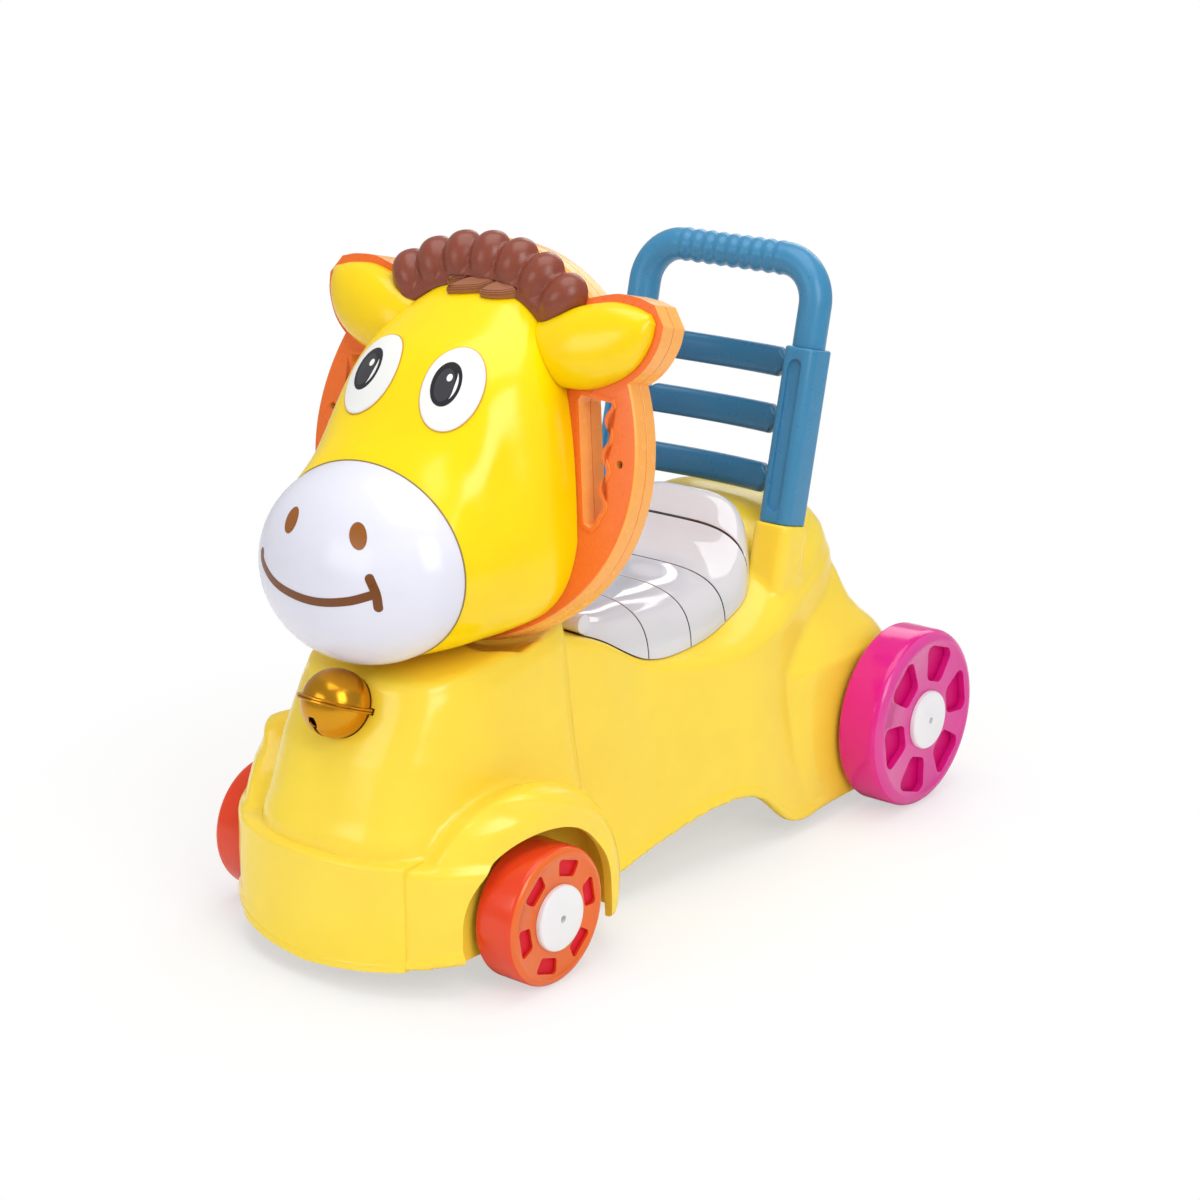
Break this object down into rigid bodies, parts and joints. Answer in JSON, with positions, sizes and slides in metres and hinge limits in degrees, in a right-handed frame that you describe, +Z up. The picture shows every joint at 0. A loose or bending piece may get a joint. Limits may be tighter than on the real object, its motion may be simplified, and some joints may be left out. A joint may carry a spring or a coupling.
{
  "type": "ride-on push scooter",
  "caption": "Child's ride-on pony scooter with a turning head on a hand-grip disc, a lidded seat with storage, a leaning push handle and spoked wheels.",
  "frame": {"origin": "floor level under the middle of the overall bounding box", "axes": "+Z up, the pony faces -Y, its own left side is +X"},
  "size_m": [0.3696, 0.659, 0.5316],
  "materials": {
    "body_yellow": "glossy blow-moulded plastic",
    "head_yellow": "glossy blow-moulded plastic",
    "muzzle_white": "glossy",
    "mane_brown": "satin",
    "disc_orange": "satin",
    "front_wheel_red": "glossy",
    "front_wheel_back_red": "satin",
    "rear_wheel_pink": "glossy",
    "rear_wheel_back_pink": "satin",
    "cap_white": "satin",
    "handle_blue": "glossy",
    "bell_gold": "glossy, metallic tint",
    "steel": "plain",
    "seat_white": "very glossy"
  },
  "bodies": {
    "base": {"body_shell": "body_yellow", "chassis": "body_yellow", "storage_bin": "seat_white", "front_axle": "steel", "rear_axle": "steel", "chassis_screw_front_left": "steel", "chassis_screw_front_right": "steel", "chassis_screw_rear_left": "steel", "chassis_screw_rear_right": "steel", "sleeve_left": "handle_blue", "sleeve_right": "handle_blue", "handle_bar": "handle_blue", "rung_lower": "handle_blue", "rung_middle": "handle_blue", "rung_upper": "handle_blue", "bell_upper": "bell_gold", "bell_lower": "bell_gold", "bell_pellet": "steel", "bell_screw": "steel", "seat_hinge_pin": "steel"},
    "head": {"head_shell": "head_yellow", "muzzle": "muzzle_white", "eye_left": "muzzle_white", "eye_right": "muzzle_white", "ear_left": "head_yellow", "ear_right": "head_yellow", "mane": "mane_brown", "forelock": "mane_brown", "disc_front": "disc_orange", "disc_back": "disc_orange", "disc_screw_left": "steel", "disc_screw_right": "steel", "swivel_post": "disc_orange", "swivel_washer": "steel", "swivel_screw": "steel"},
    "lid": {"seat_lid": "seat_white"},
    "front_left_wheel": {"front_left_rim": "front_wheel_red", "front_left_back": "front_wheel_back_red", "front_left_cap": "cap_white"},
    "front_right_wheel": {"front_right_rim": "front_wheel_red", "front_right_back": "front_wheel_back_red", "front_right_cap": "cap_white"},
    "rear_left_wheel": {"rear_left_rim": "rear_wheel_pink", "rear_left_back": "rear_wheel_back_pink", "rear_left_cap": "cap_white"},
    "rear_right_wheel": {"rear_right_rim": "rear_wheel_pink", "rear_right_back": "rear_wheel_back_pink", "rear_right_cap": "cap_white"}
  },
  "joints": [
    {"name": "front_left_spin", "type": "hinge", "parent": "base", "child": "front_left_wheel", "pos_m": [0.1365, -0.219, 0.054], "axis": [1, 0, 0], "continuous": true},
    {"name": "front_right_spin", "type": "hinge", "parent": "base", "child": "front_right_wheel", "pos_m": [-0.1365, -0.219, 0.054], "axis": [1, 0, 0], "continuous": true},
    {"name": "rear_left_spin", "type": "hinge", "parent": "base", "child": "rear_left_wheel", "pos_m": [0.1605, 0.251, 0.078], "axis": [1, 0, 0], "continuous": true},
    {"name": "rear_right_spin", "type": "hinge", "parent": "base", "child": "rear_right_wheel", "pos_m": [-0.1605, 0.251, 0.078], "axis": [1, 0, 0], "continuous": true},
    {"name": "head_turn", "type": "hinge", "parent": "base", "child": "head", "pos_m": [0, -0.195, 0.2193], "axis": [0, 0, 1], "range_deg": [-20, 20]},
    {"name": "lid_open", "type": "hinge", "parent": "base", "child": "lid", "pos_m": [0, -0.088, 0.2315], "axis": [1, 0, 0], "range_deg": [0, 55]}
  ]
}
